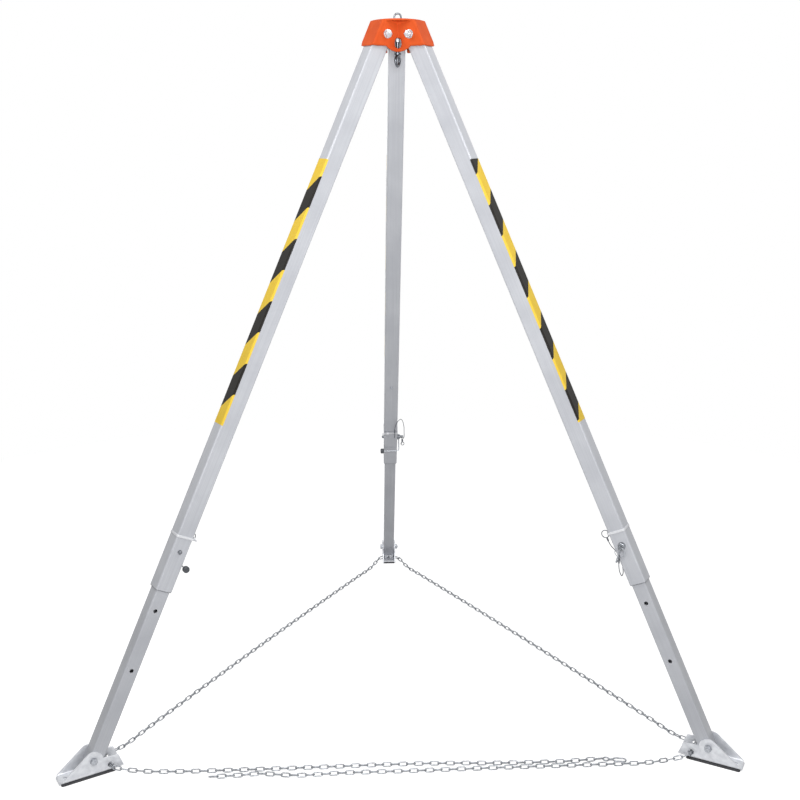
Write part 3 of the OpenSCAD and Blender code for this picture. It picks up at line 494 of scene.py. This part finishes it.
# %% Anodised aluminium
def anodised(side, part, dark, light):
    material, tree, shader = finish(f"anodised aluminium of the {side} {part} leg", Metallic=0.06, Specular_IOR_Level=0.5)
    place = add(tree, "TexCoord").outputs["Object"]
    seat = leg_frame(side)
    along = add(
        tree, "Mapping", {"Vector": place, "Location": seat.translation, "Rotation": seat.to_euler()}, vector_type="TEXTURE"
    )
    thin = add(tree, "Mapping", {"Vector": along.outputs["Vector"], "Scale": (1 / (1.5 * MM), 1 / (1.5 * MM), 3.0)})
    lines = add(tree, "TexNoise", {"Vector": thin.outputs["Vector"], "Scale": 1.0, "Detail": 3.0})
    patches = add(tree, "TexNoise", {"Vector": along.outputs["Vector"], "Scale": 9.0, "Detail": 3.0})
    both = add(tree, "Math", {0: lines.outputs["Fac"], 1: patches.outputs["Fac"]}, operation="MULTIPLY")
    tone = add(tree, "ValToRGB", {"Fac": both.outputs["Value"]})
    tone.color_ramp.elements[0].position = 0.12
    tone.color_ramp.elements[0].color = colour(dark)
    tone.color_ramp.elements[1].position = 0.40
    tone.color_ramp.elements[1].color = colour(light)
    tree.links.new(tone.outputs["Color"], shader.inputs["Base Color"])
    gloss = add(tree, "MapRange", {"Value": lines.outputs["Fac"], "To Min": 0.25, "To Max": 0.36})
    tree.links.new(gloss.outputs["Result"], shader.inputs["Roughness"])
    bump = add(tree, "Bump", {"Height": lines.outputs["Fac"], "Strength": 0.12, "Distance": 0.2 * MM})
    tree.links.new(bump.outputs["Normal"], shader.inputs["Normal"])
    return material


tubes = {side: anodised(side, "upper", "#B8BAC0", "#C7C9CE") for side in TURNS}
lower_tubes = {side: anodised(side, "lower", "#B2B4BA", "#C1C3C8") for side in TURNS}
print([material.name for material in (*tubes.values(), *lower_tubes.values())])

# %% [markdown]
# ## Hazard tape
# The tape on the outer faces is printed vinyl: slanted yellow and black bands, 187 mm from one
# yellow to the next. A band is where the distance down the leg plus the distance across it falls
# in the black half of a period, so two sums and a fraction draw it.

# %% Hazard tape
def hazard_vinyl(side, start):
    material, tree, shader = finish(f"printed vinyl tape of the {side} leg", Roughness=0.5, IOR=1.5, Specular_IOR_Level=0.12)
    place = add(tree, "TexCoord").outputs["Object"]
    seat = leg_frame(side)
    along = add(
        tree, "Mapping", {"Vector": place, "Location": seat.translation, "Rotation": seat.to_euler()}, vector_type="TEXTURE"
    )
    split = add(tree, "SeparateXYZ", {"Vector": along.outputs["Vector"]})
    down = add(tree, "Math", {0: split.outputs["Y"], 1: split.outputs["Z"]}, operation="SUBTRACT")
    shifted = add(tree, "Math", {0: down.outputs["Value"], 1: -start * MM}, operation="ADD")
    turns = add(tree, "Math", {0: shifted.outputs["Value"], 1: 187 * MM}, operation="DIVIDE")
    part = add(tree, "Math", {0: turns.outputs["Value"]}, operation="FRACT")
    black = add(tree, "Math", {0: part.outputs["Value"], 1: 0.5}, operation="LESS_THAN")
    wear = add(tree, "TexNoise", {"Vector": place, "Scale": 40.0, "Detail": 4.0})
    yellow = add(tree, "Mix", {"Factor": wear.outputs["Fac"], "A": colour("#E6C03E"), "B": colour("#F0CF50")}, data_type="RGBA")
    coal = add(tree, "Mix", {"Factor": wear.outputs["Fac"], "A": colour("#1C1A18"), "B": colour("#292724")}, data_type="RGBA")
    print_ = add(
        tree, "Mix", {"Factor": black.outputs["Value"], "A": yellow.outputs["Result"], "B": coal.outputs["Result"]}, data_type="RGBA"
    )
    tree.links.new(print_.outputs["Result"], shader.inputs["Base Color"])
    bump = add(tree, "Bump", {"Height": wear.outputs["Fac"], "Strength": 0.1, "Distance": 0.2 * MM})
    tree.links.new(bump.outputs["Normal"], shader.inputs["Normal"])
    return material


tapes = {"left": hazard_vinyl("left", 463), "rear": hazard_vinyl("rear", 463), "right": hazard_vinyl("right", 500)}
print([material.name for material in tapes.values()])

# %% [markdown]
# ## Metals, rubber and plastics
# The small parts share one recipe with different values: a base colour that drifts between two
# tones, and a fine grain in the bump. Zinc plate has a soft mottle of a few millimetres, a
# galvanised plate larger patches, rubber and nylon only grain.

# %% Small parts' finishes
def grained(name, dark, light, patch, grain, depth, **sockets):
    material, tree, shader = finish(name, **sockets)
    place = add(tree, "TexCoord").outputs["Object"]
    cloud = add(tree, "TexNoise", {"Vector": place, "Scale": 1 / (patch * MM), "Detail": 4.0})
    tone = add(tree, "ValToRGB", {"Fac": cloud.outputs["Fac"]})
    tone.color_ramp.elements[0].position = 0.35
    tone.color_ramp.elements[0].color = colour(dark)
    tone.color_ramp.elements[1].position = 0.65
    tone.color_ramp.elements[1].color = colour(light)
    tree.links.new(tone.outputs["Color"], shader.inputs["Base Color"])
    fine = add(tree, "TexNoise", {"Vector": place, "Scale": 1 / (grain * MM), "Detail": 2.0})
    bump = add(tree, "Bump", {"Height": fine.outputs["Fac"], "Strength": 0.3, "Distance": depth * MM})
    tree.links.new(bump.outputs["Normal"], shader.inputs["Normal"])
    return material


zinc = grained("bright zinc plate", "#8E9197", "#B2B5BA", 4, 0.8, 0.05, Metallic=0.9, Roughness=0.28)
bolt_zinc = grained("new zinc plate", "#BCBEC3", "#D2D4D8", 4, 0.8, 0.05, Metallic=0.75, Roughness=0.3)
eye_steel = grained("drop-forged eye steel", "#54575C", "#777A80", 6, 0.8, 0.06, Metallic=0.9, Roughness=0.3)
galvanised = grained("galvanised steel plate", "#CDCFD4", "#DEE0E4", 14, 1.5, 0.06, Metallic=0.35, Roughness=0.42)
chain_zinc = grained("zinc-plated chain wire", "#74777C", "#A0A3A8", 6, 0.8, 0.05, Metallic=0.85, Roughness=0.32)
wire_rope = grained("galvanised wire rope", "#4C4F54", "#74777C", 1.2, 0.6, 0.1, Metallic=0.7, Roughness=0.4)
dark_steel = grained("dark phosphated steel", "#66696E", "#8A8D92", 5, 0.8, 0.06, Metallic=0.8, Roughness=0.35)
grip_plastic = grained("moulded dark grip", "#3C3F43", "#4A4D52", 4, 0.7, 0.1, Roughness=0.55)
grey_nylon = grained("grey nylon guide", "#86888D", "#989A9F", 6, 0.8, 0.08, Roughness=0.5)
white_nylon = grained("natural nylon bush", "#DCDBD4", "#E8E7E1", 6, 0.8, 0.08, Roughness=0.45)
tie_nylon = grained("pale nylon cable tie", "#DADBDF", "#E8E9EC", 5, 0.8, 0.08, Roughness=0.45)
rubber = grained("black rubber sole", "#2F2F32", "#3F3F43", 7, 0.9, 0.15, Roughness=0.7)
print("twelve finishes for the small parts")

# %% [markdown]
# ## Softer edges
# Cast, folded and turned parts never have knife edges. A copy of each solid is welded, its flat
# faces are joined again, and the edges that turn sharply are bevelled by the radius that the real
# part has. The copy then stands in for the solid.

# %% Rounded copies
body_of = {name: body for body, names in frame["record"]["behaviour"]["bodies"].items() for name in names}


def softened(node, radius, segments=2, sharp=35):
    bm = bmesh.new()
    bm.from_mesh(nodes[node].data)
    bmesh.ops.remove_doubles(bm, verts=bm.verts, dist=1e-6)
    bmesh.ops.dissolve_limit(bm, angle_limit=radians(0.5), verts=bm.verts, edges=bm.edges)
    edges = [e for e in bm.edges if len(e.link_faces) == 2 and e.calc_face_angle(0) > radians(sharp)]
    bmesh.ops.bevel(
        bm, geom=edges, offset=radius * MM, segments=segments, profile=0.5, affect="EDGES", material=-1, clamp_overlap=True
    )
    bmesh.ops.triangulate(bm, faces=[f for f in bm.faces if len(f.verts) > 4])
    obj = piece(node + "_softened", bm, body_of[node], crease=50)
    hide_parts(node)
    return obj


def faces_out(face, hubs):
    centre = face.calc_center_median()
    nearest = min(hubs, key=lambda hub: (hub - centre).length)
    return (centre - nearest).dot(face.normal) > 0


def cast(node, hubs, radius, voxel, rounds, corners):
    bm = bmesh.new()
    bm.from_mesh(nodes[node].data)
    bmesh.ops.remove_doubles(bm, verts=bm.verts, dist=1e-6)
    bmesh.ops.dissolve_limit(bm, angle_limit=radians(0.5), verts=bm.verts, edges=bm.edges)
    edges = [
        edge for edge in bm.edges
        if edge.calc_length() > 15 * MM and edge.is_convex and edge.calc_face_angle(0) > radians(30)
        and all(faces_out(face, hubs) for face in edge.link_faces)
    ]
    bmesh.ops.bevel(
        bm, geom=edges, offset=radius * MM, segments=4, profile=0.5, affect="EDGES", material=-1, clamp_overlap=False
    )
    print(len(edges), "long outer edges rounded")
    rough = bpy.data.meshes.new(node + "_blank")
    bm.to_mesh(rough)
    bm.free()
    blank = bpy.data.objects.new(node + "_blank", rough)
    bpy.context.scene.collection.objects.link(blank)
    grid = blank.modifiers.new("grid", "REMESH")
    grid.mode = "VOXEL"
    grid.voxel_size = voxel * MM
    made = blank.evaluated_get(bpy.context.evaluated_depsgraph_get()).to_mesh()
    bm = bmesh.new()
    bm.from_mesh(made)
    bpy.data.objects.remove(blank)
    for _ in range(rounds):
        bmesh.ops.smooth_vert(bm, verts=bm.verts, factor=0.5, use_axis_x=True, use_axis_y=True, use_axis_z=True)
    near = [v for v in bm.verts if min((v.co - corner).length for corner in corners) < 13 * MM]
    for _ in range(4 * rounds):
        bmesh.ops.smooth_vert(bm, verts=near, factor=0.5, use_axis_x=True, use_axis_y=True, use_axis_z=True)
    obj = piece(node + "_cast", bm, body_of[node], crease=80)
    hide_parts(node)
    return obj


leg_hubs = [leg_frame(side).translation for side in TURNS]
lobe_corners = [
    turned(side) @ Vector((104.6 * MM, across * MM, pivot.z - 32 * MM)) for side in TURNS for across in (-36, 36)
]
head = cast("head_casting", leg_hubs, 4.2, 1.6, 7, lobe_corners)
dress(head, orange)
print("head with", len(head.data.polygons), "faces")

# %% [markdown]
# ## Split rings
# The ring in a pin's stub is a key ring: wire wound twice round and pressed flat, so that it can be
# opened. A circle swept twice round with a little lift gives the two turns side by side.

# %% Split rings
RING_WIRE = 2.5 * MM


def split_ring(side):
    bm = bmesh.new()
    rim = bmesh.ops.create_circle(bm, cap_ends=True, segments=8, radius=RING_WIRE / 4)["verts"]
    bmesh.ops.rotate(bm, verts=rim, cent=(0, 0, 0), matrix=Matrix.Rotation(pi / 2, 3, "X"))
    bmesh.ops.scale(bm, vec=(1.7, 1, 1), verts=rim)
    bmesh.ops.translate(bm, verts=rim, vec=(ring_r * MM, 0, -RING_WIRE / 4))
    edges = list({edge for vert in rim for edge in vert.link_edges})
    swept = bmesh.ops.spin(
        bm, geom=edges, cent=(0, 0, 0), axis=(0, 0, 1), dvec=(0, 0, RING_WIRE / 160), angle=4 * pi, steps=80
    )
    bmesh.ops.contextual_create(bm, geom=[item for item in swept["geom_last"] if isinstance(item, bmesh.types.BMEdge)])
    bmesh.ops.recalc_face_normals(bm, faces=bm.faces)
    centre = (HANG * ring_drop + Vector((0, ring_y, 0))) * MM
    place = pin_frame(side) @ Matrix.Translation(centre) @ Matrix.Rotation(pi / 2, 4, "X")
    bmesh.ops.transform(bm, matrix=place, verts=bm.verts)
    coil = piece(side + "_split_ring_coil", bm, side + "_pin")
    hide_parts(side + "_split_ring")
    return coil


rings = [split_ring(side) for side in TURNS]
print("three split rings of", len(rings[0].data.polygons), "faces")

# %% [markdown]
# ## Small parts
# Bolt heads and nuts have a chamfer from the machine, folded plate a small radius, the rubber sole
# a larger one. The same softening does for all of them, with the radius that each would have.

# %% Soft small parts
RADII = {"leg_pivot_bolts": 0.7, "leg_pivot_nuts": 0.7, "leg_pivot_washers": 0.3, "eye_fixings": 0.4}
for side in TURNS:
    RADII.update({
        side + "_foot_bracket": 0.6, side + "_foot_sole": 1.2, side + "_foot_fixings": 0.5,
        side + "_lock_pin": 0.6, side + "_cable_tie": 0.3, side + "_stop_screw": 0.3, side + "_guide_collar": 0.3,
    })
soft = {node: softened(node, radius) for node, radius in RADII.items()}
print(len(soft), "softened small parts,", sum(len(obj.data.polygons) for obj in soft.values()), "faces")

# %% Dress the solids
looks = {
    "leg_pivot_bolts": bolt_zinc, "leg_pivot_nuts": bolt_zinc, "leg_pivot_washers": bolt_zinc, "load_eye": eye_steel,
    "lifting_eye": eye_steel, "eye_fixings": zinc, "chain_hook": chain_zinc,
}
for side in TURNS:
    looks.update({
        side + "_upper_leg": tubes[side], side + "_lower_leg": lower_tubes[side], side + "_hazard_tape": tapes[side],
        side + "_pivot_bushes": white_nylon, side + "_guide_collar": grey_nylon, side + "_stop_screw": zinc,
        side + "_cable_tie": tie_nylon, side + "_guide_plug": grey_nylon, side + "_foot_bracket": galvanised,
        side + "_foot_sole": rubber, side + "_sole_rivets": zinc, side + "_foot_fixings": zinc,
        side + "_lock_pin": dark_steel, side + "_split_ring": zinc, side + "_pin_bail": zinc,
        side + "_bail_grip": grip_plastic,
    })
for name, material in looks.items():
    dress(nodes[name], material)
    if name in soft:
        dress(soft[name], material)
for obj in rings:
    dress(obj, zinc)
dress(nodes["head_casting"], orange)
dress(nodes["foot_chain"], chain_zinc)
for obj in chain:
    dress(obj, chain_zinc)
for obj in lanyards:
    dress(obj, wire_rope)
for side in TURNS:
    dress(nodes[side + "_lanyard"], wire_rope)
print(len(looks) + 5, "solids dressed")

# %% [markdown]
# ## Studio
# The photograph is a cut-out on white. A pale floor takes the shadow, the world lights evenly, and
# two soft lamps give the tubes their bright and shaded sides. The background is white only for the
# camera and in reflections, so it adds no light to the object.

# %% Floor and light
bm = bmesh.new()
bmesh.ops.create_circle(bm, cap_ends=True, segments=64, radius=3.2)
mesh = bpy.data.meshes.new("floor")
bm.to_mesh(mesh)
bm.free()
floor = bpy.data.objects.new("floor", mesh)
bpy.context.scene.collection.objects.link(floor)
floor.location.z = -0.0005


def backdrop_rays(tree):
    ray = add(tree, "LightPath")
    first = add(tree, "Math", {0: ray.outputs["Is Camera Ray"], 1: ray.outputs["Is Glossy Ray"]}, operation="MAXIMUM")
    return add(tree, "Math", {0: first.outputs["Value"], 1: ray.outputs["Is Transmission Ray"]}, operation="MAXIMUM")


pale, tree, shader = finish("pale studio floor", Roughness=0.9)
shader.inputs["Base Color"].default_value = colour("#B0B0B0")
white = add(tree, "Emission", {"Color": colour("#FFFFFF"), "Strength": 0.82})
plus = add(tree, "AddShader", {0: shader.outputs["BSDF"], 1: white.outputs["Emission"]})
both = add(
    tree, "MixShader", {"Fac": backdrop_rays(tree).outputs["Value"], 1: shader.outputs["BSDF"], 2: plus.outputs["Shader"]}
)
tree.links.new(both.outputs["Shader"], tree.nodes["Material Output"].inputs["Surface"])
floor.data.materials.append(pale)

world = bpy.data.worlds.new("studio")
bpy.context.scene.world = world
world.use_nodes = True
tree = world.node_tree
sky = tree.nodes["Background"]
sky.inputs["Color"].default_value = colour("#F4F6FA")
sky.inputs["Strength"].default_value = 0.12
backdrop = add(tree, "Background", {"Color": colour("#FFFFFF"), "Strength": 1.0})
both = add(
    tree, "MixShader", {"Fac": backdrop_rays(tree).outputs["Value"], 1: sky.outputs["Background"], 2: backdrop.outputs["Background"]}
)
tree.links.new(both.outputs["Shader"], tree.nodes["World Output"].inputs["Surface"])

LAMPS = {
    "key": ((0.0, -2.1, 2.0), 0.9, 0.9, 32), "strip": ((0.0, -2.6, 1.1), 0.3, 2.1, 14),
    "left fill": ((-1.5, -0.6, 3.0), 0.8, 0.8, 21), "right fill": ((1.5, -0.6, 3.0), 0.8, 0.8, 21),
    "top": ((0.0, 0.2, 4.2), 2.5, 2.5, 8), "back": ((0.0, 3.6, 2.6), 2.5, 2.5, 25),
}
for name, (place, wide, high, power) in LAMPS.items():
    lamp = bpy.data.objects.new(name, bpy.data.lights.new(name, "AREA"))
    bpy.context.scene.collection.objects.link(lamp)
    lamp.data.shape = "RECTANGLE"
    lamp.data.size = wide
    lamp.data.size_y = high
    lamp.data.energy = power
    lamp.location = place
    lamp.visible_camera = False
    lamp.rotation_euler = (Vector((0, 0, 1.2)) - lamp.location).to_track_quat("-Z", "Y").to_euler()
bpy.context.scene.view_settings.view_transform = "Standard"
print("floor, world and", len(LAMPS), "lamps")
